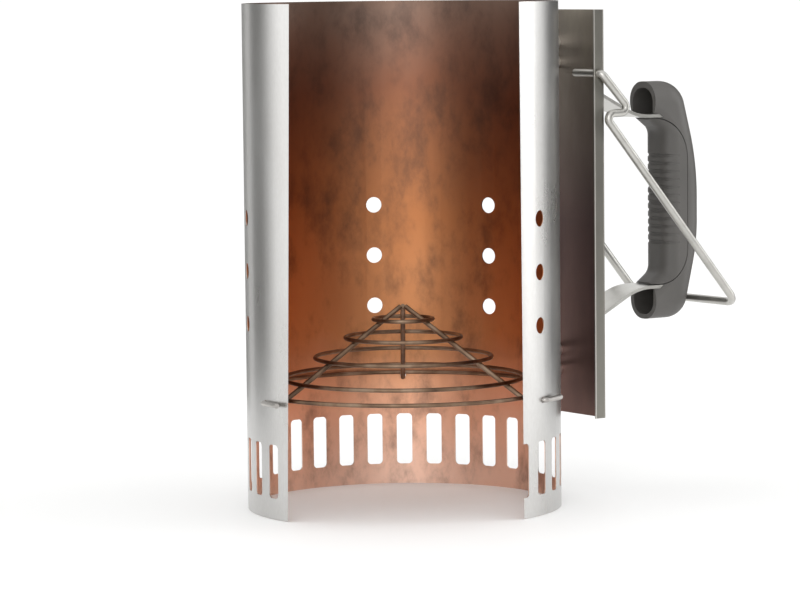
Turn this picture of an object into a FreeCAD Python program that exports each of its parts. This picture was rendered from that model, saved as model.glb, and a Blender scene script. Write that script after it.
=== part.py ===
"""Chimney charcoal starter: slotted steel cylinder, wire cone grate, heat shield,
strap handle with a two-part grip, and a swinging wire bail.

The cylinder axis is vertical, its base stands on z = 0 and the handle points along +X.
"""
import FreeCAD, Part
import math
import os

import Sketcher

from FreeCAD import Placement, Rotation, Vector

DRIVING_SIZES = {
    # cylinder of rolled sheet, with the front opened over its full height
    "body_radius": 95.25,
    "body_height": 305,
    "sheet_gauge": 0.8,
    "window_facing": -34.7,
    "window_left_top": 64.7,
    "window_left_bottom": 69.3,
    "window_right_top": 69.5,
    "window_right_bottom": 70.5,
    "lap_angle": 10,
    # air slots round the base, and columns of vent holes above the grate
    "slot_number": 31,
    "slot_step": 11.4,
    "slot_first": 9.5,
    "slot_width": 9.7,
    "slot_length": 32,
    "slot_bottom": 12.5,
    "slot_corner": 2.5,
    "vent_radius": 4.9,
    "vent_columns": 8,
    "vent_step": 45.6,
    "vent_first": 20.4,
    "vent_rows": 3,
    "vent_bottom": 113.5,
    "vent_rise": 31.75,
    # wire cone grate
    "leg_number": 3,
    "leg_first": 55.5,
    "leg_wire": 3,
    "leg_level": 68.8,
    "leg_hole": 3.6,
    "tail_length": 18.5,
    "tail_gap": 0.75,
    "ring_wire": 2.5,
    "cone_apex": 122.3,
    "cone_slope": 0.65,
    "weld_depth": 0.3,
    # heat shield standing off the wall on sleeves
    "shield_reach": 118.4,
    "shield_width": 96,
    "shield_depth": 8.4,
    "shield_bottom": 48.5,
    "shield_top": 298.9,
    "shield_bend": 1.8,
    "sleeve_radius": 4.5,
    "bolt_radius": 2.5,
    "bolt_pitch": 12,
    "bolt_setback": 14.4,
    "rivet_radius": 2,
    # strap that carries the grip
    "strap_width": 24,
    "strap_gauge": 2,
    "strap_bend": 4,
    "strap_sweep": 40,
    "strap_top": 286,
    "strap_bottom": 66,
    "foot_bend_top": 258,
    "foot_bend_bottom": 95.5,
    "tab_start": 172.5,
    "tab_end": 205,
    "tab_top": 231,
    "tab_bottom": 123,
    # grip
    "grip_width": 26,
    "palm_round": 12,
    "finger_round": 9,
    "grip_mouth": 186,
    "grip_inside": 195.5,
    "grip_outside": 225.5,
    "grip_top": 252.5,
    "grip_bottom": 102,
    "grip_wall": 3,
    "rib_number": 12,
    "rib_pitch": 5,
    "rib_first": 150.5,
    "rib_radius": 1.3,
    "rib_offset": 0.1,
    "seam_setback": 7,
    "palm_core_bottom": 146,
    "palm_core_top": 208,
    "screw_length": 15,
    "screw_depth": 8,
    "screw_head": 2,
    "screw_top": 217,
    "screw_bottom": 137,
    # wire bail
    "bail_wire": 5,
    "bail_plane": 50.8,
    "bail_reach": 219.5,
    "bail_bottom": 113.9,
    "pivot_reach": 113.7,
    "pivot_level": 260.2,
    "pin_length": 26,
    "pin_clearance": 0.2,
}

GRATE_RING_RADII = (18, 35, 53.5, 72.5)
RIVET_LEVELS = (56, 116, 170, 224, 296)

document = FreeCAD.newDocument("chimney_starter")
sheet = document.addObject("Spreadsheet::Sheet", "Sizes")
for row, (name, value) in enumerate(DRIVING_SIZES.items(), start=1):
    sheet.set(f"A{row}", name)
    sheet.set(f"B{row}", str(value))
    sheet.setAlias(f"B{row}", name)
document.recompute()

sub_parts = []


def size(name):
    """Value of one cell of the sheet."""
    return float(getattr(sheet, name))


def bolt_levels():
    """Heights of the four handle bolts: two through each foot of the strap."""
    middle_top = size("foot_bend_top") + size("bolt_setback")
    middle_bottom = size("foot_bend_bottom") - size("bolt_setback")
    half = size("bolt_pitch") / 2
    return [middle + side * half for middle in (middle_bottom, middle_top) for side in (-1, 1)]


def leg_azimuths():
    """Directions of the legs, evenly spaced round the cylinder's axis."""
    number = int(size("leg_number"))
    return [size("leg_first") + 360 / number * leg for leg in range(number)]


def hook_reach():
    """Distance of a leg's outer tail from the cylinder's axis."""
    return size("body_radius") + size("leg_wire") / 2 + size("tail_gap")


def frame_shift():
    """Move from the cylinder's axis to the centre of the whole object's footprint."""
    back_leg = math.radians(leg_azimuths()[1])
    tail_side = hook_reach() + size("leg_wire") / 2
    tail_end = tail_side * math.cos(back_leg) - size("tail_length") * math.sin(back_leg)
    facing = math.radians(size("window_facing"))
    across = size("window_right_top")
    depth = math.sqrt(size("body_radius") ** 2 - across**2)
    window_edge = across * math.sin(facing) - depth * math.cos(facing)
    return Vector(-(tail_end + size("grip_outside")) / 2, -(window_edge + size("body_radius")) / 2, 0)


SHIFT = Placement(frame_shift(), Rotation())


def keep(item, label):
    """Name an object as a sub-part and move it into the object's own frame."""
    item.Label = label
    item.Placement = SHIFT.multiply(item.Placement)
    sub_parts.append(item)
    return item


def bind(item, **expressions):
    """Tie properties of an object to expressions over the sheet."""
    for name, expression in expressions.items():
        item.setExpression(name, expression)


# ---------------------------------------------------------------- sketch helpers


def new_body(name):
    return document.addObject("PartDesign::Body", name)


def origin_item(body, role):
    return next(item for item in body.Origin.OriginFeatures if item.Role == role)


def new_sketch(body, name, role, turn=None, lift=None):
    """Sketch on an origin plane, turned about the cylinder's axis or lifted off its plane."""
    sketch = body.newObject("Sketcher::SketchObject", name)
    sketch.AttachmentSupport = [(origin_item(body, role), "")]
    sketch.MapMode = "FlatFace"
    if turn:
        sketch.AttachmentOffset = Placement(Vector(), Rotation(Vector(0, 1, 0), 1))
        sketch.setExpression("AttachmentOffset.Rotation.Angle", turn)
    if lift:
        sketch.setExpression("AttachmentOffset.Base.z", lift)
    return sketch


def constrain(sketch, expression, *constraint):
    """Add a dimension whose value is an expression over the sheet."""
    number = sketch.addConstraint(Sketcher.Constraint(*constraint))
    sketch.setExpression(f"Constraints[{number}]", expression)


def draw_rectangle(sketch, left, bottom, width, height):
    """Rectangle placed by its lower left corner; all four arguments are expressions."""
    corners = [Vector(1, 1), Vector(2, 1), Vector(2, 2), Vector(1, 2)]
    lines = [
        sketch.addGeometry(Part.LineSegment(start, end))
        for start, end in zip(corners, corners[1:] + corners[:1])
    ]
    for line, following in zip(lines, lines[1:] + lines[:1]):
        sketch.addConstraint(Sketcher.Constraint("Coincident", line, 2, following, 1))
    for line, direction in zip(lines, ("Horizontal", "Vertical") * 2):
        sketch.addConstraint(Sketcher.Constraint(direction, line))
    constrain(sketch, left, "DistanceX", -1, 1, lines[0], 1, 1.0)
    constrain(sketch, bottom, "DistanceY", -1, 1, lines[0], 1, 1.0)
    constrain(sketch, width, "DistanceX", lines[0], 1, lines[0], 2, 1.0)
    constrain(sketch, height, "DistanceY", lines[1], 1, lines[1], 2, 1.0)


def draw_circle(sketch, across, up, radius):
    """Circle whose centre and radius are expressions."""
    circle = sketch.addGeometry(Part.Circle(Vector(1, 1), Vector(0, 0, 1), 1))
    constrain(sketch, across, "DistanceX", -1, 1, circle, 3, 1.0)
    constrain(sketch, up, "DistanceY", -1, 1, circle, 3, 1.0)
    constrain(sketch, radius, "Radius", circle, 1.0)


def draw_outline(sketch, edges):
    """Closed outline whose corners are all worked out from the sheet."""
    numbers = [sketch.addGeometry(edge) for edge in edges]
    for one, two in zip(numbers, numbers[1:] + numbers[:1]):
        ends = [(i, j) for i in (1, 2) for j in (1, 2) if touches(sketch, one, i, two, j)]
        sketch.addConstraint(Sketcher.Constraint("Coincident", one, ends[0][0], two, ends[0][1]))
    for number in numbers:
        sketch.addConstraint(Sketcher.Constraint("Block", number))


def touches(sketch, one, one_end, two, two_end):
    return sketch.getPoint(one, one_end).isEqual(sketch.getPoint(two, two_end), 1e-6)


def add_feature(body, kind, name, sketch, **properties):
    """PartDesign feature over a sketch; text values are expressions."""
    feature = body.newObject(f"PartDesign::{kind}", name)
    feature.Profile = sketch
    for key, value in properties.items():
        if isinstance(value, str) and key != "Type":
            feature.setExpression(key, value)
        else:
            setattr(feature, key, value)
    document.recompute()
    return feature


def cut_through(body, name, sketch, length, reverse=False):
    """Pocket that has to take material away."""
    before = body.Shape.Volume
    pocket = add_feature(body, "Pocket", name, sketch, Type=0, Length=length, Reversed=reverse)
    if body.Shape.Volume >= before:
        raise RuntimeError(f"{name} cuts nothing")
    return pocket


def repeat_round(body, name, feature, number, angle):
    """Polar pattern of a feature about the cylinder's axis."""
    pattern = body.newObject("PartDesign::PolarPattern", name)
    pattern.Originals = [feature]
    pattern.Axis = (origin_item(body, "Z_Axis"), [""])
    bind(pattern, Occurrences=number, Angle=angle)
    body.Tip = pattern
    document.recompute()


def dress(body, kind, name, edges, **expressions):
    """Fillet of the edges that a test picks from the body's present shape."""
    base = body.Tip
    picked = [f"Edge{i}" for i, edge in enumerate(base.Shape.Edges, start=1) if edges(edge)]
    feature = body.newObject(f"PartDesign::{kind}", name)
    feature.Base = (base, picked)
    bind(feature, **expressions)
    document.recompute()


# ---------------------------------------------------------------- wire helpers


def bent_curves(corners, radii):
    """Straight runs with a tangent arc at each inner corner, or none where its radius is 0."""
    curves = []
    start = corners[0]
    for before, corner, after, radius in zip(corners, corners[1:], corners[2:], radii):
        back = (before - corner).normalize()
        ahead = (after - corner).normalize()
        half_turn = (math.pi - back.getAngle(ahead)) / 2
        setback = radius * math.tan(half_turn)
        arc_start = corner + back * setback
        arc_end = corner + ahead * setback
        curves.append(Part.LineSegment(start, arc_start))
        if radius:
            middle = (back + ahead).normalize() * (radius / math.cos(half_turn) - radius)
            curves.append(Part.Arc(arc_start, corner + middle, arc_end))
        start = arc_end
    curves.append(Part.LineSegment(start, corners[-1]))
    return curves


def swept(name, corners, radii, section):
    """Solid made by carrying a section along a bent path."""
    item = document.addObject("Part::Feature", name)
    path = Part.Wire([curve.toShape() for curve in bent_curves(corners, radii)])
    item.Shape = path.makePipeShell([section], True, False)
    return item


def round_section(centre, direction, radius):
    return Part.Wire([Part.Circle(centre, direction, radius).toShape()])


def flat_section(centre, thickness, width):
    """Rectangle across a vertical strip."""
    corner = centre - Vector(thickness / 2, width / 2, 0)
    return Part.makePlane(thickness, width, corner).OuterWire


# ---------------------------------------------------------------- primitive helpers


def x_cylinder(name, start, length, radius):
    """Part::Cylinder along +X from a start point; length and radius are expressions."""
    cylinder = document.addObject("Part::Cylinder", name)
    bind(cylinder, Radius=radius, Height=length)
    cylinder.Placement = Placement(start, Rotation(Vector(0, 1, 0), 90))
    return cylinder


def combined(kind, name, base, tool):
    result = document.addObject(f"Part::{kind}", name)
    result.Base = base
    result.Tool = tool
    return result


def grouped(label, items):
    """Identical loose pieces kept together as one sub-part."""
    group = document.addObject("Part::Compound", label)
    group.Links = items
    return keep(group, label)


# ---------------------------------------------------------------- cylinder


def build_body_shell():
    """Rolled wall with its lapped seam, front window, slots, vents and holes."""
    body = new_body("body_shell")
    section = new_sketch(body, "wall_section", "XZ_Plane")
    draw_rectangle(
        section, "Sizes.body_radius - Sizes.sheet_gauge", "0", "Sizes.sheet_gauge", "Sizes.body_height"
    )
    axis = (origin_item(body, "Z_Axis"), [""])
    add_feature(body, "Revolution", "wall", section, ReferenceAxis=axis, Angle=360)

    lap_section = new_sketch(body, "lap_section", "XZ_Plane")
    draw_rectangle(
        lap_section,
        "Sizes.body_radius - Sizes.sheet_gauge / 2",
        "0",
        "Sizes.sheet_gauge * 1.5",
        "Sizes.body_height",
    )
    add_feature(
        body, "Revolution", "lap", lap_section, ReferenceAxis=axis, Midplane=True, Angle="Sizes.lap_angle"
    )

    slot_sketch = new_sketch(body, "slot_outline", "YZ_Plane", turn="Sizes.slot_first")
    draw_outline(slot_sketch, slot_outline())
    slot = cut_through(body, "slot", slot_sketch, "Sizes.body_radius * 1.1", reverse=True)
    repeat_round(body, "slots", slot, "Sizes.slot_number", "(Sizes.slot_number - 1) * Sizes.slot_step")

    vent_sketch = new_sketch(body, "vent_outline", "YZ_Plane", turn="Sizes.vent_first")
    for level in range(int(size("vent_rows"))):
        draw_circle(vent_sketch, "0", f"Sizes.vent_bottom + {level} * Sizes.vent_rise", "Sizes.vent_radius")
    vent = cut_through(body, "vent", vent_sketch, "Sizes.body_radius * 1.1", reverse=True)
    repeat_round(body, "vents", vent, "Sizes.vent_columns", "(Sizes.vent_columns - 1) * Sizes.vent_step")

    leg_sketch = new_sketch(body, "leg_hole_outline", "YZ_Plane", turn="Sizes.leg_first")
    draw_circle(leg_sketch, "0", "Sizes.leg_level", "Sizes.leg_hole / 2")
    leg_hole = cut_through(body, "leg_hole", leg_sketch, "Sizes.body_radius * 1.1", reverse=True)
    repeat_round(body, "leg_holes", leg_hole, "Sizes.leg_number", "360")

    seam_sketch = new_sketch(body, "seam_holes_outline", "YZ_Plane")
    for level in bolt_levels():
        draw_circle(seam_sketch, "0", f"{level}", "Sizes.bolt_radius")
    for level in RIVET_LEVELS:
        draw_circle(seam_sketch, "0", f"{level}", "Sizes.rivet_radius")
    cut_through(body, "seam_holes", seam_sketch, "Sizes.body_radius * 1.1", reverse=True)

    window_sketch = new_sketch(body, "window_outline", "XZ_Plane", turn="Sizes.window_facing")
    draw_outline(window_sketch, window_outline())
    cut_through(body, "window", window_sketch, "Sizes.body_radius * 1.1", reverse=True)
    return keep(body, "body_shell")


def window_outline():
    """Opening seen square on; its sides run on past both rims of the cylinder."""
    corners = []
    for side, name in ((-1, "window_left"), (1, "window_right")):
        low = Vector(side * size(f"{name}_bottom"), 0)
        high = Vector(side * size(f"{name}_top"), size("body_height"))
        beyond = (high - low) * 0.1
        corners.append((low - beyond, high + beyond))
    (left_low, left_high), (right_low, right_high) = corners
    return bent_curves([left_low, right_low, right_high, left_high, left_low], (0, 0, 0))


def slot_outline():
    """Upright slot with rounded corners, drawn on the wall's tangent plane."""
    half = size("slot_width") / 2
    low = size("slot_bottom")
    middle = Vector(0, low + size("slot_length") / 2, 0)
    radius = size("slot_corner")
    edges = []
    for across, up in ((1, -1), (1, 1), (-1, 1), (-1, -1)):
        corner = middle + Vector(across * half, up * size("slot_length") / 2, 0)
        centre = corner - Vector(across * radius, up * radius, 0)
        before = Vector(corner.x, centre.y, 0)
        after = Vector(centre.x, corner.y, 0)
        if across != up:
            before, after = after, before
        bulge = centre + (corner - centre).normalize() * radius
        edges.append(Part.Arc(before, bulge, after))
    sides = [Part.LineSegment(one.EndPoint, two.StartPoint) for one, two in zip(edges, edges[1:] + edges[:1])]
    return [piece for pair in zip(edges, sides) for piece in pair]


def build_seam_rivets():
    """Round-headed rivets that close the lapped seam."""
    rivets = []
    for number, level in enumerate(RIVET_LEVELS):
        inside = Vector(size("body_radius") - size("sheet_gauge") - 0.8, 0, level)
        shank = x_cylinder(f"rivet_shank_{number}", inside, "Sizes.sheet_gauge * 2 + 1.2", "Sizes.rivet_radius")
        foot = x_cylinder(f"rivet_foot_{number}", inside, "0.75", "Sizes.rivet_radius * 1.7")
        stem = combined("Fuse", f"rivet_stem_{number}", shank, foot)
        head = domed_head(
            f"rivet_head_{number}",
            Vector(size("body_radius") + size("sheet_gauge"), 0, level),
            size("rivet_radius") * 1.8,
            size("rivet_radius") * 0.7,
        )
        rivets.append(combined("Fuse", f"rivet_{number}", stem, head))
    return grouped("seam_rivets", rivets)


def domed_head(name, seat, radius, rise):
    """Spherical cap on an upright seat; a negative rise turns it towards -X."""
    ball_radius = (radius**2 + rise**2) / abs(2 * rise)
    centre = rise - math.copysign(ball_radius, rise)
    ball = document.addObject("Part::Sphere", f"{name}_ball")
    ball.Radius = ball_radius
    ball.Placement = Placement(seat + Vector(centre, 0, 0), Rotation())
    blank_start = seat + Vector(min(2 * rise, 0), 0, 0)
    blank = x_cylinder(f"{name}_blank", blank_start, f"{abs(2 * rise)}", f"{radius * 1.2}")
    return combined("Common", name, ball, blank)


# ---------------------------------------------------------------- grate


def build_grate_legs():
    """Three bent wires that meet at the top of the cone and hook through the wall."""
    wire = size("leg_wire")
    level = size("leg_level")
    knee = (size("cone_apex") - level) / size("cone_slope")
    tip = wire * 0.57
    hook = hook_reach()
    start = Vector(tip, 0, size("cone_apex") - size("cone_slope") * tip)
    direction = Vector(1, 0, -size("cone_slope"))
    for number, azimuth in enumerate(leg_azimuths(), start=1):
        corners = [
            start,
            Vector(knee, 0, level),
            Vector(hook, 0, level),
            Vector(hook, size("tail_length"), level),
        ]
        section = round_section(start, direction, wire / 2)
        leg = swept(f"grate_leg_{number}", corners, (8, 2), section)
        leg.Placement = Placement(Vector(), Rotation(Vector(0, 0, 1), azimuth))
        keep(leg, f"grate_leg_{number}")


def build_grate_rings():
    """Rings that lie on the legs, and the wide base ring near the wall."""
    slope = math.atan(size("cone_slope"))
    stack = (size("leg_wire") + size("ring_wire")) / 2 - size("weld_depth")
    rise = stack / math.cos(slope)
    places = [(radius, size("cone_apex") - size("cone_slope") * radius + rise) for radius in GRATE_RING_RADII]
    places.append((size("body_radius") - 4.75, size("leg_level") + stack))
    for number, (radius, level) in enumerate(places, start=1):
        ring = document.addObject("Part::Torus", f"grate_ring_{number}")
        ring.Radius1 = radius
        bind(ring, Radius2="Sizes.ring_wire / 2")
        ring.Placement = Placement(Vector(0, 0, level), Rotation())
        keep(ring, f"grate_ring_{number}")


# ---------------------------------------------------------------- shield and fasteners


def build_heat_shield():
    """Flat plate with two edges folded towards the cylinder."""
    body = new_body("heat_shield")
    outline = new_sketch(body, "shield_block", "XY_Plane", lift="Sizes.shield_bottom")
    draw_rectangle(
        outline,
        "Sizes.shield_reach - Sizes.shield_depth",
        "-Sizes.shield_width / 2",
        "Sizes.shield_depth",
        "Sizes.shield_width",
    )
    height = "Sizes.shield_top - Sizes.shield_bottom"
    add_feature(body, "Pad", "block", outline, Length=height)
    inside = new_sketch(body, "shield_inside", "XY_Plane", lift="Sizes.shield_bottom")
    draw_rectangle(
        inside,
        "Sizes.shield_reach - Sizes.shield_depth - 1",
        "Sizes.sheet_gauge - Sizes.shield_width / 2",
        "Sizes.shield_depth + 1 - Sizes.sheet_gauge",
        "Sizes.shield_width - Sizes.sheet_gauge * 2",
    )
    cut_through(body, "folded_inside", inside, height, reverse=True)
    folds = (
        ("outer_fold", size("shield_reach"), "Sizes.shield_bend"),
        ("inner_fold", size("shield_reach") - size("sheet_gauge"), "Sizes.shield_bend - Sizes.sheet_gauge"),
    )
    for name, reach, radius in folds:
        dress(body, "Fillet", name, lambda edge: is_upright_at(edge, reach), Radius=radius)

    pin_sketch = new_sketch(body, "pin_hole_outline", "XZ_Plane")
    draw_circle(
        pin_sketch, "Sizes.pivot_reach", "Sizes.pivot_level", "Sizes.bail_wire / 2 + Sizes.pin_clearance"
    )
    before = body.Shape.Volume
    add_feature(body, "Pocket", "pin_holes", pin_sketch, Midplane=True, Length="Sizes.shield_width * 2")
    if body.Shape.Volume >= before:
        raise RuntimeError("pin_holes cuts nothing")

    bolt_sketch = new_sketch(body, "shield_bolt_outline", "YZ_Plane")
    for level in bolt_levels():
        draw_circle(bolt_sketch, "0", f"{level}", "Sizes.bolt_radius")
    cut_through(body, "shield_bolt_holes", bolt_sketch, "Sizes.shield_reach + 5", reverse=True)
    return keep(body, "heat_shield")


def is_upright_at(edge, reach):
    """Whether an edge is a vertical line in the plane x = reach."""
    first, last = edge.Vertexes[0].Point, edge.Vertexes[-1].Point
    leans = math.hypot(last.x - first.x, last.y - first.y)
    return edge.Length > 1 and leans < 1e-6 and abs(first.x - reach) < 0.01


def build_shield_spacers():
    """Sleeves between the seam and the shield, with their inner ends cut to the curve."""
    sleeves = []
    for number, level in enumerate(bolt_levels()):
        start = Vector(size("body_radius") - 2, 0, level)
        length = "Sizes.shield_reach - Sizes.sheet_gauge - Sizes.body_radius + 2"
        outside = x_cylinder(f"sleeve_blank_{number}", start, length, "Sizes.sleeve_radius")
        bore = x_cylinder(f"sleeve_bore_{number}", start, length, "Sizes.bolt_radius")
        tube = combined("Cut", f"sleeve_tube_{number}", outside, bore)
        wall = document.addObject("Part::Cylinder", f"sleeve_seat_{number}")
        bind(wall, Radius="Sizes.body_radius + Sizes.sheet_gauge", Height="Sizes.body_height")
        sleeves.append(combined("Cut", f"sleeve_{number}", tube, wall))
    return grouped("shield_spacers", sleeves)


def head_radius():
    return size("bolt_radius") * 1.9


def inner_seat():
    """Where a bolt's flat seat rests across the inside of the wall."""
    inside = size("body_radius") - size("sheet_gauge")
    return math.sqrt(inside**2 - head_radius() ** 2)


def outer_seat():
    """Where a washer rests on the outside of the strap's feet."""
    return size("shield_reach") + size("strap_gauge")


def build_handle_bolts():
    """Four bolts with low domed heads inside the cylinder, clear of the grate's base ring."""
    bolts = []
    head_seat = inner_seat()
    shank_end = outer_seat() + size("bolt_radius") * 2.3
    for number, level in enumerate(bolt_levels()):
        start = Vector(head_seat - 0.5, 0, level)
        shank = x_cylinder(f"bolt_shank_{number}", start, f"{shank_end - start.x}", "Sizes.bolt_radius")
        head = domed_head(f"bolt_head_{number}", Vector(head_seat, 0, level), head_radius(), -1.2)
        bolts.append(combined("Fuse", f"bolt_{number}", shank, head))
    return grouped("handle_bolts", bolts)


def build_bolt_washers():
    washers = []
    for number, level in enumerate(bolt_levels()):
        start = Vector(outer_seat(), 0, level)
        disc = x_cylinder(f"washer_disc_{number}", start, "1", "Sizes.bolt_radius * 2.2")
        bore = x_cylinder(f"washer_bore_{number}", start, "1", "Sizes.bolt_radius")
        washers.append(combined("Cut", f"washer_{number}", disc, bore))
    return grouped("bolt_washers", washers)


def build_bolt_nuts():
    """Hexagon nuts on the outside of the strap's feet."""
    nuts = []
    for number, level in enumerate(bolt_levels()):
        start = Vector(outer_seat() + 1, 0, level)
        block = document.addObject("Part::Prism", f"nut_block_{number}")
        block.Polygon = 6
        bind(block, Circumradius="Sizes.bolt_radius * 1.85", Height="Sizes.bolt_radius * 1.6")
        block.Placement = Placement(start, Rotation(Vector(0, 1, 0), 90))
        bore = x_cylinder(f"nut_bore_{number}", start, "Sizes.bolt_radius * 1.6", "Sizes.bolt_radius")
        nuts.append(combined("Cut", f"nut_{number}", block, bore))
    return grouped("bolt_nuts", nuts)


# ---------------------------------------------------------------- strap and grip


def strap_solid(name, play):
    """Bent strip from foot to foot; play widens it where it serves as a cutting tool."""
    foot = size("shield_reach") + size("strap_gauge") / 2
    corners = [
        Vector(foot, 0, size("strap_top")),
        Vector(foot, 0, size("foot_bend_top")),
        Vector(size("tab_start"), 0, size("tab_top")),
        Vector(size("tab_end"), 0, size("tab_top")),
        Vector(size("tab_end"), 0, size("tab_bottom")),
        Vector(size("tab_start"), 0, size("tab_bottom")),
        Vector(foot, 0, size("foot_bend_bottom")),
        Vector(foot, 0, size("strap_bottom")),
    ]
    section = flat_section(corners[0], size("strap_gauge") + play, size("strap_width") + play)
    bend, sweep = size("strap_bend"), size("strap_sweep")
    return swept(name, corners, (bend, sweep, bend, bend, sweep, bend), section)


def build_handle_strap():
    """Steel strap with round holes for the four bolts and the two grip screws."""
    strip = strap_solid("strap_strip", 0)
    for number, level in enumerate(bolt_levels()):
        hole = x_cylinder(
            f"strap_hole_{number}",
            Vector(size("shield_reach") - 1, 0, level),
            "Sizes.strap_gauge + 2",
            "Sizes.bolt_radius",
        )
        strip = combined("Cut", f"strap_cut_{number}", strip, hole)
    for name in ("screw_top", "screw_bottom"):
        start = Vector(size("tab_end") - size("strap_gauge"), 0, size(name))
        hole = x_cylinder(f"strap_{name}", start, "Sizes.strap_gauge * 2", "Sizes.rivet_radius")
        strip = combined("Cut", f"strap_cut_{name}", strip, hole)
    return keep(strip, "handle_strap")


def grip_outline():
    """Side view of the whole grip: flat mouths on the left, the palm side on the right."""
    mouth, inside, outside = size("grip_mouth"), size("grip_inside"), size("grip_outside")
    top, bottom = size("grip_top"), size("grip_bottom")
    lip_top, lip_bottom = size("tab_top") - 2.5, size("tab_bottom") + 2.5
    corners = [
        Vector(mouth, lip_bottom),
        Vector(mouth, bottom),
        Vector(outside - 11.9, bottom),
        Vector(outside, bottom + 48),
        Vector(outside, top - 52),
        Vector(outside - 14, top),
        Vector(mouth, top),
        Vector(mouth, lip_top),
        Vector(inside, lip_top - 7),
        Vector(inside, lip_bottom + 7),
        Vector(mouth, lip_bottom),
    ]
    return bent_curves(corners, (0, 15, 120, 160, 18, 0, 0, 7, 7))


def inner_half_outline(gap):
    """Side view of the region that the inner half fills, drawn in by a gap at the seam."""
    mouth = size("grip_mouth") - 5
    seam = size("tab_end") + size("seam_setback") - gap
    high = size("tab_top") - size("strap_gauge") / 2 - gap
    low = size("tab_bottom") + size("strap_gauge") / 2 + gap
    start = Vector(mouth, low)
    corners = [start, Vector(seam, low), Vector(seam, high), Vector(mouth, high), start]
    return bent_curves(corners, (22, 26, 0))


def side_pad(name, edges, width):
    """Solid of a side outline, centred on the handle's middle plane."""
    body = new_body(name)
    sketch = new_sketch(body, f"{name}_outline", "XZ_Plane")
    draw_outline(sketch, edges)
    add_feature(body, "Pad", f"{name}_pad", sketch, Midplane=True, Length=width)
    return body


def build_grip_blank(name):
    """Whole grip with rounded edges along its palm side and its finger side."""
    body = side_pad(name, grip_outline(), "Sizes.grip_width")

    def is_palm_side(edge):
        return runs_along_side(edge) and not is_finger_side(edge)

    dress(body, "Fillet", f"{name}_fingers", is_finger_side, Radius="Sizes.finger_round")
    dress(body, "Fillet", f"{name}_palm", is_palm_side, Radius="Sizes.palm_round")
    return body


def runs_along_side(edge):
    """Whether an edge lies in one of the grip's two flat sides, clear of the mouths."""
    first, last = edge.Vertexes[0].Point, edge.Vertexes[-1].Point
    in_side = abs(abs(first.y) - size("grip_width") / 2) < 0.01 and abs(first.y - last.y) < 0.01
    return in_side and max(first.x, last.x) > size("grip_mouth") + 0.01


def is_finger_side(edge):
    """Whether an edge bounds the finger side or one of the lips that lead to it."""
    ends = [vertex.Point for vertex in edge.Vertexes]
    inner = max(end.x for end in ends) < size("grip_inside") + 0.01
    between_lips = all(size("tab_bottom") < end.z < size("tab_top") for end in ends)
    return runs_along_side(edge) and inner and between_lips


def box(name, low, high):
    item = document.addObject("Part::Box", name)
    item.Length, item.Width, item.Height = high - low
    item.Placement = Placement(low, Rotation())
    return item


def hood_hollow(name, low, high, arch_level):
    """Hollow of one hood: a box whose two edges at the arch level are rounded like the grip."""
    core = box(name, low, high)
    document.recompute()
    radius = size("palm_round") - size("grip_wall")

    def is_arch_edge(edge):
        first, last = (vertex.Point for vertex in edge.Vertexes)
        return max(abs(first.z - arch_level), abs(last.z - arch_level), abs(first.y - last.y)) < 0.01

    rounded = document.addObject("Part::Fillet", f"{name}_rounded")
    rounded.Base = core
    numbered = enumerate(core.Shape.Edges, start=1)
    rounded.Edges = [(number, radius, radius) for number, edge in numbered if is_arch_edge(edge)]
    return rounded


def build_grip_outer():
    """Palm-side shell with a hollow hood at each end."""
    blank = build_grip_blank("outer_blank")
    inner_side = side_pad("outer_seam", inner_half_outline(0.1), "40")
    shell = combined("Cut", "outer_region", blank, inner_side)
    mouth, wall = size("grip_mouth"), size("grip_wall")
    half = size("grip_width") / 2 - wall
    end = size("tab_end") - 2
    top_end, bottom_end = size("grip_top") - wall - 1, size("grip_bottom") + wall
    top_low, top_high = Vector(mouth - 1, -half, size("tab_top") - 1.1), Vector(end, half, top_end)
    bottom_low, bottom_high = Vector(mouth - 1, -half, bottom_end), Vector(end, half, size("tab_bottom") + 1.1)
    hollows = (
        hood_hollow("top_hood", top_low, top_high, top_end),
        hood_hollow("bottom_hood", bottom_low, bottom_high, bottom_end),
        box(
            "palm_hollow",
            Vector(end, wall + 1 - half, size("palm_core_bottom")),
            Vector(size("grip_outside") - wall * 2, half - wall - 1, size("palm_core_top")),
        ),
    )
    for number, hollow in enumerate(hollows):
        shell = combined("Cut", f"outer_hollow_{number}", shell, hollow)
    shell = combined("Cut", "outer_strap_slot", shell, strap_solid("outer_strap_tool", 0.3))
    for name in ("screw_top", "screw_bottom"):
        seat = screw_seat(name)
        start = seat - Vector(size("screw_length"), 0, 0)
        hole = x_cylinder(f"outer_{name}", start, "Sizes.screw_length + 1", "Sizes.rivet_radius")
        recess = x_cylinder(f"outer_recess_{name}", seat, "Sizes.palm_round", "Sizes.rivet_radius * 2")
        shell = combined("Cut", f"outer_cut_{name}", shell, hole)
        shell = combined("Cut", f"outer_sink_{name}", shell, recess)
    return keep(shell, "grip_outer")


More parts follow.
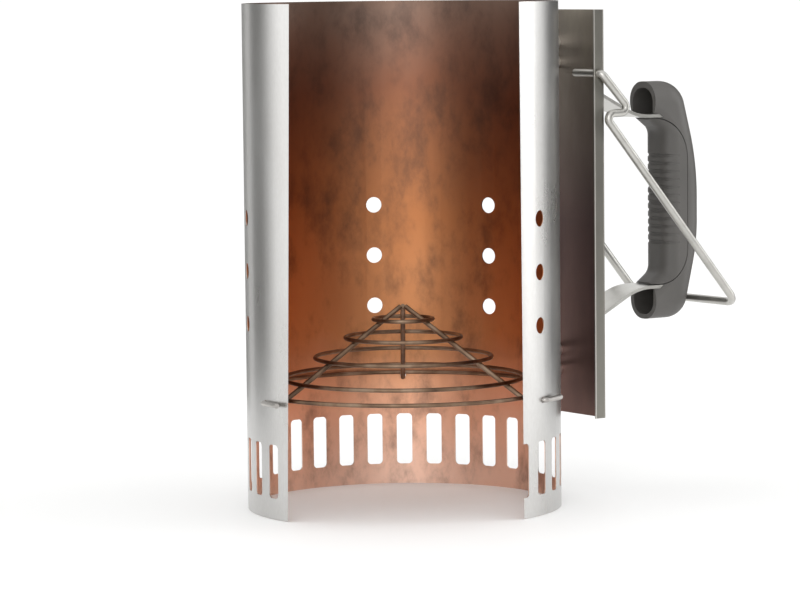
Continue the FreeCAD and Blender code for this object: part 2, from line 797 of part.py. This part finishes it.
def build_grip_inner():
    """Finger-side half with a row of ribs and a channel for the strap."""
    blank = build_grip_blank("inner_blank")
    inner_side = side_pad("inner_seam", inner_half_outline(0.5), "40")
    half = combined("Common", "inner_region", blank, inner_side)
    channel_low = Vector(size("tab_end") - 1.2, -size("strap_width") / 2 - 0.2, size("tab_bottom") + 1)
    channel_high = Vector(size("tab_end") + 1.2, size("strap_width") / 2 + 0.2, size("tab_top") - 1)
    half = combined("Cut", "inner_channel", half, box("inner_channel_tool", channel_low, channel_high))
    half = combined("Cut", "inner_strap_slot", half, strap_solid("inner_strap_tool", 0.3))
    for name in ("screw_top", "screw_bottom"):
        start = screw_seat(name) - Vector(size("screw_length"), 0, 0)
        hole = x_cylinder(f"inner_{name}", start, "Sizes.screw_length", "Sizes.rivet_radius")
        half = combined("Cut", f"inner_cut_{name}", half, hole)
    grooves = document.addObject("Part::Compound", "rib_grooves")
    grooves.Links = [rib_groove(number) for number in range(int(size("rib_number")))]
    half = combined("Cut", "ribs", half, grooves)
    return keep(half, "grip_inner")


def rib_groove(number):
    """Round groove across the finger side that runs out along both flanks."""
    level = size("rib_first") + number * size("rib_pitch")
    front = size("grip_inside") - size("rib_offset")
    flank = size("grip_width") / 2 + size("rib_offset")
    run_out = Vector(size("tab_end"), flank + size("rib_radius") * 0.8, level)
    corner = Vector(front, flank, level)
    corners = [run_out, corner, Vector(corner.x, -corner.y, level), Vector(run_out.x, -run_out.y, level)]
    bend = size("finger_round") + size("rib_offset")
    section = round_section(run_out, corner - run_out, size("rib_radius"))
    return swept(f"rib_groove_{number}", corners, (bend, bend), section)


def screw_seat(name):
    """Point where the head of a grip screw bears, deep in its recess on the palm side."""
    return Vector(size("tab_end") + size("screw_depth"), 0, size(name))


def build_grip_screws():
    """Two screws through the palm side and the strap into blind holes in the finger side."""
    screws = []
    for name in ("screw_top", "screw_bottom"):
        seat = screw_seat(name)
        start = seat - Vector(size("screw_length"), 0, 0)
        shank = x_cylinder(f"shank_{name}", start, "Sizes.screw_length", "Sizes.rivet_radius")
        head = x_cylinder(f"head_{name}", seat, "Sizes.screw_head", "Sizes.rivet_radius * 1.9")
        screws.append(combined("Fuse", f"grip_{name}", shank, head))
    return grouped("grip_screws", screws)


# ---------------------------------------------------------------- bail


def build_bail():
    """Swinging wire loop: pins, cranked legs and a cross bar that rests on the grip."""
    plane = size("bail_plane")
    pivot = Vector(size("pivot_reach"), -plane, size("pivot_level"))
    near = [
        pivot + Vector(0, size("pin_length"), 0),
        pivot,
        pivot + Vector(22.9, 0, -24.2),
        pivot + Vector(1.4, 0, -24.7),
        Vector(size("bail_reach"), -plane, size("bail_bottom")),
    ]
    far = [Vector(point.x, -point.y, point.z) for point in reversed(near)]
    near_radii = [size("bail_wire") / 2 + 0.3, 3.5, 3.5, 8]
    section = round_section(near[0], Vector(0, 1, 0), size("bail_wire") / 2)
    bail = swept("bail", near + far, near_radii + near_radii[::-1], section)
    return keep(bail, "bail")


# ---------------------------------------------------------------- build and write


def check_and_write():
    """Stop on any failed object, then write one file for each sub-part."""
    document.recompute()
    for item in document.Objects:
        if {"Invalid", "Error"} & set(item.State):
            raise RuntimeError(f"{item.Name} failed: {item.State}")
    os.makedirs("parts", exist_ok=True)
    for item in sub_parts:
        if item.Shape.isNull() or not item.Shape.isValid() or not item.Shape.Solids:
            raise RuntimeError(f"{item.Label} has no sound shape")
        item.Shape.exportStep(f"parts/{item.Label}.step")
        bounds = item.Shape.BoundBox
        print(f"{item.Label:16s} {len(item.Shape.Solids)} solids, {item.Shape.Volume:10.1f} mm3, {bounds}")


build_body_shell()
build_seam_rivets()
build_grate_legs()
build_grate_rings()
build_heat_shield()
build_shield_spacers()
build_handle_strap()
build_handle_bolts()
build_bolt_washers()
build_bolt_nuts()
build_grip_inner()
build_grip_outer()
build_grip_screws()
build_bail()
check_and_write()
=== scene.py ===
"""Looks of the chimney charcoal starter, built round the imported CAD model."""
import math

import bpy
from mathutils import Matrix, Vector


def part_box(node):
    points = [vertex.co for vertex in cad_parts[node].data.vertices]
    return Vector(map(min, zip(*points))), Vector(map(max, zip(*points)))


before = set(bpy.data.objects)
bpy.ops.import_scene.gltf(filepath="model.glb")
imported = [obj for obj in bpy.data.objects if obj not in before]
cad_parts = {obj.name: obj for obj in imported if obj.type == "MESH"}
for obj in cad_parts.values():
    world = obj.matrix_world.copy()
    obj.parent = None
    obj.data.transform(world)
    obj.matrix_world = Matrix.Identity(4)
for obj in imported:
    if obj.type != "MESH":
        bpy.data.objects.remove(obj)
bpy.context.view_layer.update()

# The cylinder's axis, radius and height, read from the frame, and the gauge of its sheet.
RING_LOW, RING_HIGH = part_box("grate_ring_1")
AXIS = Vector(((RING_LOW[0] + RING_HIGH[0]) / 2, (RING_LOW[1] + RING_HIGH[1]) / 2, 0))
SHELL_LOW, SHELL_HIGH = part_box("body_shell")
RADIUS = AXIS.x - SHELL_LOW[0]
GAUGE = 0.0008
HEIGHT = SHELL_HIGH[2]

# The viewpoint: how far round from the -Y side, how far away, how high, and which way it points.
VIEW_AZIMUTH = math.radians(-34.76)
VIEW_DISTANCE = 2.212
VIEW_HEIGHT = 0.324
VIEW_DOWN = math.radians(5.14)
VIEW_LEFT = math.radians(0.044)
VIEW_ROLL = math.radians(-0.588)
LENS = 165

# The studio: light from all round, and a floor a hair below the object.
WORLD_STRENGTH = 1.09
FLOOR_HALF = 40
FLOOR_DROP = 0.0002

# Single colours that are mixed over a sheet's own colour.
SOOT = (0.06, 0.045, 0.04, 1)
BURNT_BROWN = (0.1, 0.075, 0.07, 1)
BARE_EDGE = (0.6, 0.58, 0.54, 1)


# ---------------------------------------------------------------- material helpers


class Shader:
    """Node tree of one material, with short calls for the nodes used here."""

    def __init__(self, name):
        self.material = bpy.data.materials.new(name)
        self.material.use_nodes = True
        self.tree = self.material.node_tree
        self.surface = self.tree.nodes["Principled BSDF"]
        self.place = self.tree.nodes.new("ShaderNodeTexCoord").outputs["Object"]

    def node(self, kind, **settings):
        item = self.tree.nodes.new(f"ShaderNode{kind}")
        for key, value in settings.items():
            setattr(item, key, value)
        return item

    def join(self, source, target):
        if isinstance(source, (int, float, tuple)):
            target.default_value = source
        else:
            self.tree.links.new(source, target)

    def math(self, operation, one, two=0.0):
        item = self.node("Math", operation=operation)
        self.join(one, item.inputs[0])
        self.join(two, item.inputs[1])
        return item.outputs[0]

    def split(self, vector):
        item = self.node("SeparateXYZ")
        self.join(vector, item.inputs[0])
        return item.outputs

    def stretched(self, scale):
        item = self.node("Mapping")
        self.join(self.place, item.inputs["Vector"])
        item.inputs["Scale"].default_value = scale
        return item.outputs[0]

    def reach(self):
        """Distance from the cylinder's axis."""
        x, y, _ = self.split(self.place)
        across = self.math("SUBTRACT", x, AXIS.x)
        along = self.math("SUBTRACT", y, AXIS.y)
        square = self.math("ADD", self.math("MULTIPLY", across, across), self.math("MULTIPLY", along, along))
        return self.math("SQRT", square)

    def noise(self, scale, detail=4.0, stretch=(1, 1, 1), roughness=0.5):
        item = self.node("TexNoise")
        self.join(self.stretched(stretch), item.inputs["Vector"])
        item.inputs["Scale"].default_value = scale
        item.inputs["Detail"].default_value = detail
        item.inputs["Roughness"].default_value = roughness
        return item.outputs[0]

    def span(self, value, low, high, new_low=0.0, new_high=1.0):
        item = self.node("MapRange", interpolation_type="SMOOTHSTEP")
        for socket, amount in zip(item.inputs, (value, low, high, new_low, new_high)):
            self.join(amount, socket)
        return item.outputs[0]

    def ramp(self, value, stops):
        item = self.node("ValToRGB")
        self.join(value, item.inputs[0])
        elements = item.color_ramp.elements
        while len(elements) < len(stops):
            elements.new(0.5)
        for element, (position, colour) in zip(elements, stops):
            element.position = position
            element.color = (*colour, 1)
        return item.outputs[0]

    def mix(self, factor, one, two):
        item = self.node("Mix", data_type="RGBA")
        self.join(factor, item.inputs[0])
        self.join(one, item.inputs[6])
        self.join(two, item.inputs[7])
        return item.outputs[2]

    def bump(self, height, distance, strength=1.0, under=None):
        item = self.node("Bump")
        self.join(height, item.inputs["Height"])
        item.inputs["Distance"].default_value = distance
        item.inputs["Strength"].default_value = strength
        if under:
            self.join(under, item.inputs["Normal"])
        return item.outputs[0]

    def finish(self, colour, roughness, normal=None, **constants):
        self.join(colour, self.surface.inputs["Base Color"])
        self.join(roughness, self.surface.inputs["Roughness"])
        if normal:
            self.join(normal, self.surface.inputs["Normal"])
        for name, value in constants.items():
            self.surface.inputs[name].default_value = value
        return self.material


# ---------------------------------------------------------------- materials


def sheet_steel():
    """Aluminised sheet: bright and rolled outside; inside, orange-pink low down and darker towards the top,
    with sooty blotches.
    """
    shader = Shader("aluminised_sheet")
    z = shader.split(shader.place)[2]
    inside = shader.math("LESS_THAN", shader.reach(), RADIUS - GAUGE / 2)

    spangle = shader.noise(900, 3, (1, 1, 0.35))
    cloud = shader.noise(26, 5, (1, 1, 0.5))
    mottle = shader.math("ADD", shader.math("MULTIPLY", spangle, 0.35), shader.math("MULTIPLY", cloud, 0.65))
    outer = shader.ramp(mottle, ((0.3, (0.52, 0.51, 0.495)), (0.7, (0.62, 0.615, 0.605))))
    height = shader.math("DIVIDE", z, HEIGHT)
    drift = shader.noise(9, 6, (1, 1, 0.55), 0.6)
    level = shader.math("ADD", height, shader.math("MULTIPLY", shader.math("SUBTRACT", drift, 0.5), 0.28))
    # Inside colour by height: orange-pink and lighter low down, dark brown towards the top.
    tint = shader.ramp(
        level,
        (
            (0.0, (0.78, 0.53, 0.42)),
            (0.16, (0.78, 0.43, 0.29)),
            (0.32, (0.6, 0.27, 0.12)),
            (0.55, (0.42, 0.17, 0.07)),
            (0.8, (0.23, 0.1, 0.06)),
            (0.97, (0.2, 0.13, 0.1)),
        ),
    )
    soot = shader.span(shader.noise(48, 7, (1, 1, 0.6), 0.65), 0.42, 0.75)
    sooty = shader.mix(shader.math("MULTIPLY", soot, 0.6), tint, SOOT)
    colour = shader.mix(inside, outer, sooty)
    polish = shader.math("ADD", 0.24, shader.math("MULTIPLY", cloud, 0.1))
    roughness = shader.math("ADD", shader.math("MULTIPLY", inside, 0.14), polish)
    scratches = shader.noise(2600, 2, (1, 1, 0.03))
    normal = shader.bump(scratches, 0.00002, 0.35, shader.bump(cloud, 0.0006, 0.12))
    return shader.finish(colour, roughness, normal, Metallic=1.0)


def shield_steel():
    """Shield sheet: the grey is painted shade on what is bright aluminised sheet; the side facing the fire
    has painted shade with a painted reddish reflection of the fire, lighter towards the top; bare along the
    folds' edges.
    """
    shader = Shader("shield_sheet")
    x, y, z = shader.split(shader.place)
    shield_low, shield_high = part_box("heat_shield")
    behind_skin = shader.math("LESS_THAN", x, shield_high[0] - GAUGE / 2)
    past_edge = shader.math("GREATER_THAN", x, shield_low[0] + GAUGE)
    off_middle = shader.math("ABSOLUTE", shader.math("SUBTRACT", y, (shield_low[1] + shield_high[1]) / 2))
    within_folds = shader.math("LESS_THAN", off_middle, (shield_high[1] - shield_low[1] - GAUGE) / 2)
    facing_fire = shader.math("MULTIPLY", shader.math("MULTIPLY", behind_skin, past_edge), within_folds)
    cloud = shader.noise(22, 6, (1, 1, 0.4), 0.6)
    # Dark grey for the outer face and folds: painted shade and a painted dark reflection, standing in for
    # the same bright sheet as the body.
    painted_shade_grey = shader.ramp(cloud, ((0.3, (0.2, 0.19, 0.17)), (0.7, (0.28, 0.27, 0.24))))
    # Face towards the fire: painted shade, with a painted reddish reflection of the fire low down and
    # painted light towards the top.
    painted_shade_and_glow = shader.ramp(
        shader.math("DIVIDE", z, HEIGHT),
        ((0.2, (0.3, 0.17, 0.145)), (0.55, (0.25, 0.17, 0.16)), (0.95, (0.5, 0.45, 0.38))),
    )
    # Darker brown blotches at random over the painted shade.
    blotched_painted_shade = shader.mix(shader.span(cloud, 0.3, 0.7, 0.0, 0.4), painted_shade_and_glow, BURNT_BROWN)
    sheared = shader.mix(past_edge, BARE_EDGE, painted_shade_grey)
    colour = shader.mix(facing_fire, sheared, blotched_painted_shade)
    scratches = shader.noise(2200, 2, (1, 1, 0.03))
    normal = shader.bump(scratches, 0.00002, 0.3)
    roughness = shader.math("ADD", 0.3, shader.math("MULTIPLY", cloud, 0.14))
    return shader.finish(colour, roughness, normal, Metallic=1.0)


def grate_steel():
    """Wire brown inside the wall as a painted reflection of the fire's glow, in random lighter and darker
    patches, and bright steel on the hooks outside.
    """
    shader = Shader("grate_wire")
    patch = shader.noise(60, 5)
    painted_glow_brown = shader.ramp(
        patch,
        ((0.3, (0.1, 0.065, 0.045)), (0.5, (0.2, 0.13, 0.085)), (0.7, (0.34, 0.25, 0.18))),
    )
    bright = shader.ramp(patch, ((0.3, (0.4, 0.38, 0.36)), (0.7, (0.62, 0.6, 0.57))))
    # Inside the wall the wire takes the brown painted reflection of the fire's glow; outside it is bright
    # steel.
    colour = shader.mix(shader.math("GREATER_THAN", shader.reach(), RADIUS), painted_glow_brown, bright)
    scale = shader.noise(900, 3)
    roughness = shader.math("ADD", 0.3, shader.math("MULTIPLY", patch, 0.25))
    return shader.finish(colour, roughness, shader.bump(scale, 0.0001, 0.25), Metallic=1.0)


def plated_steel(name, low, high, gloss):
    """Zinc-plated steel with faint drawing lines and handling marks."""
    shader = Shader(name)
    cloud = shader.noise(70, 5, roughness=0.6)
    colour = shader.ramp(cloud, ((0.3, low), (0.7, high)))
    grain = shader.noise(2400, 2, (0.2, 1, 0.2))
    roughness = shader.math("ADD", gloss, shader.math("MULTIPLY", cloud, 0.12))
    return shader.finish(colour, roughness, shader.bump(grain, 0.00003, 0.3), Metallic=1.0)


def grip_plastic():
    """Moulded grey nylon with a fine spark-eroded texture and rubbed high spots."""
    shader = Shader("grip_plastic")
    cloud = shader.noise(34, 4)
    rub = shader.noise(9, 3)
    colour = shader.ramp(
        shader.math("ADD", shader.math("MULTIPLY", cloud, 0.5), shader.math("MULTIPLY", rub, 0.5)),
        ((0.3, (0.07, 0.066, 0.061)), (0.7, (0.096, 0.09, 0.084))),
    )
    grain = shader.noise(3200, 3, roughness=0.7)
    roughness = shader.math("ADD", 0.46, shader.math("MULTIPLY", rub, 0.14))
    return shader.finish(colour, roughness, shader.bump(grain, 0.0001, 0.4), IOR=1.5)


def pale_floor():
    """Matt white studio floor."""
    shader = Shader("studio_floor")
    cloud = shader.noise(2, 3)
    colour = shader.ramp(cloud, ((0.2, (0.95, 0.95, 0.945)), (0.8, (0.975, 0.975, 0.97))))
    return shader.finish(colour, 0.6)


def dress(nodes, material):
    """Give CAD nodes their finished material."""
    for name in nodes:
        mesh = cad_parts[name].data
        mesh.materials.clear()
        mesh.materials.append(material)


# ---------------------------------------------------------------- studio


def aim(item, target):
    """Turn a lamp so that it shines at a point."""
    item.rotation_euler = (target - item.location).to_track_quat("-Z", "Y").to_euler()


def add_camera():
    """Long-lens camera a little above the object, turned to the viewpoint's angles."""
    data = bpy.data.cameras.new("camera")
    data.lens = LENS
    camera = bpy.data.objects.new("camera", data)
    back = Vector((math.sin(VIEW_AZIMUTH), -math.cos(VIEW_AZIMUTH), 0))
    place = AXIS + back * VIEW_DISTANCE + Vector((0, 0, VIEW_HEIGHT))
    turn = (
        Matrix.Rotation(VIEW_AZIMUTH + VIEW_LEFT, 4, "Z")
        @ Matrix.Rotation(math.pi / 2 - VIEW_DOWN, 4, "X")
        @ Matrix.Rotation(VIEW_ROLL, 4, "Z")
    )
    camera.matrix_world = Matrix.Translation(place) @ turn
    bpy.context.collection.objects.link(camera)
    bpy.context.scene.camera = camera


def add_softbox(name, azimuth, distance, height, width, tall, power):
    """Rectangular area light aimed at the middle of the object."""
    data = bpy.data.lights.new(name, "AREA")
    data.shape = "RECTANGLE"
    data.size = width
    data.size_y = tall
    data.energy = power
    lamp = bpy.data.objects.new(name, data)
    angle = VIEW_AZIMUTH + math.radians(azimuth)
    lamp.location = AXIS + Vector((math.sin(angle), -math.cos(angle), 0)) * distance
    lamp.location.z = height
    aim(lamp, AXIS + Vector((0, 0, HEIGHT / 2)))
    bpy.context.collection.objects.link(lamp)


def add_card(name, azimuth, distance, width, tall, shade):
    """Upright matt card that only shows as a darker band in the steel's reflections."""
    mesh = bpy.data.meshes.new(name)
    side = width / 2
    mesh.from_pydata([(-side, 0, 0), (side, 0, 0), (side, 0, tall), (-side, 0, tall)], [], [(0, 1, 2, 3)])
    card = bpy.data.objects.new(name, mesh)
    angle = VIEW_AZIMUTH + math.radians(azimuth)
    card.location = AXIS + Vector((math.sin(angle), -math.cos(angle), 0)) * distance
    card.rotation_euler = (0, 0, angle)
    card.visible_camera = False
    card.visible_diffuse = False
    card.visible_shadow = False
    bpy.context.collection.objects.link(card)
    shader = Shader(name)
    mesh.materials.append(shader.finish((shade, shade, shade * 0.97, 1), 0.9))


def add_floor():
    """Wide level floor that the object stands on."""
    mesh = bpy.data.meshes.new("floor")
    half = FLOOR_HALF
    corners = [(-half, -half, 0), (half, -half, 0), (half, half, 0), (-half, half, 0)]
    mesh.from_pydata(corners, [], [(0, 1, 2, 3)])
    floor = bpy.data.objects.new("floor", mesh)
    floor.location.z = -FLOOR_DROP
    bpy.context.collection.objects.link(floor)
    mesh.materials.append(pale_floor())


def light_studio():
    """Even white surroundings, three softboxes, and cards that shade the steel's reflections."""
    world = bpy.data.worlds.new("studio")
    world.use_nodes = True
    background = world.node_tree.nodes["Background"]
    background.inputs["Color"].default_value = (1, 1, 1, 1)
    background.inputs["Strength"].default_value = WORLD_STRENGTH
    bpy.context.scene.world = world
    add_softbox("front_box", azimuth=-6, distance=2.6, height=0.9, width=1.1, tall=1.6, power=15)
    add_softbox("left_box", azimuth=-92, distance=1.8, height=0.7, width=0.4, tall=1.4, power=1.5)
    add_softbox("right_box", azimuth=98, distance=1.8, height=0.7, width=0.5, tall=1.4, power=9)
    add_card("left_card", azimuth=-119, distance=0.6, width=0.3, tall=0.6, shade=0.15)
    add_card("left_far_card", azimuth=-153.6, distance=0.57, width=0.26, tall=0.6, shade=0.24)
    add_card("right_card", azimuth=140.4, distance=0.58, width=0.41, tall=0.6, shade=0.04)
    add_card("edge_card", azimuth=76, distance=1.5, width=1.2, tall=1.6, shade=0.1)
    bpy.context.scene.view_settings.view_transform = "Standard"


# ---------------------------------------------------------------- assembly

GRATE = [f"grate_leg_{i}" for i in (1, 2, 3)] + [f"grate_ring_{i}" for i in (1, 2, 3, 4, 5)]

dress(["body_shell"], sheet_steel())
dress(["heat_shield"], shield_steel())
dress(GRATE, grate_steel())
dress(["handle_strap"], plated_steel("strap_steel", (0.46, 0.45, 0.42), (0.58, 0.57, 0.54), 0.26))
dress(["bail"], plated_steel("bail_wire", (0.44, 0.43, 0.405), (0.56, 0.55, 0.52), 0.28))
dress(
    ["seam_rivets", "shield_spacers", "handle_bolts", "bolt_washers", "bolt_nuts"],
    plated_steel("fastener_steel", (0.6, 0.595, 0.58), (0.74, 0.73, 0.72), 0.28),
)
dress(["grip_screws"], plated_steel("blackened_screw", (0.1, 0.1, 0.1), (0.16, 0.16, 0.155), 0.36))
dress(["grip_inner", "grip_outer"], grip_plastic())

add_camera()
add_floor()
light_studio()
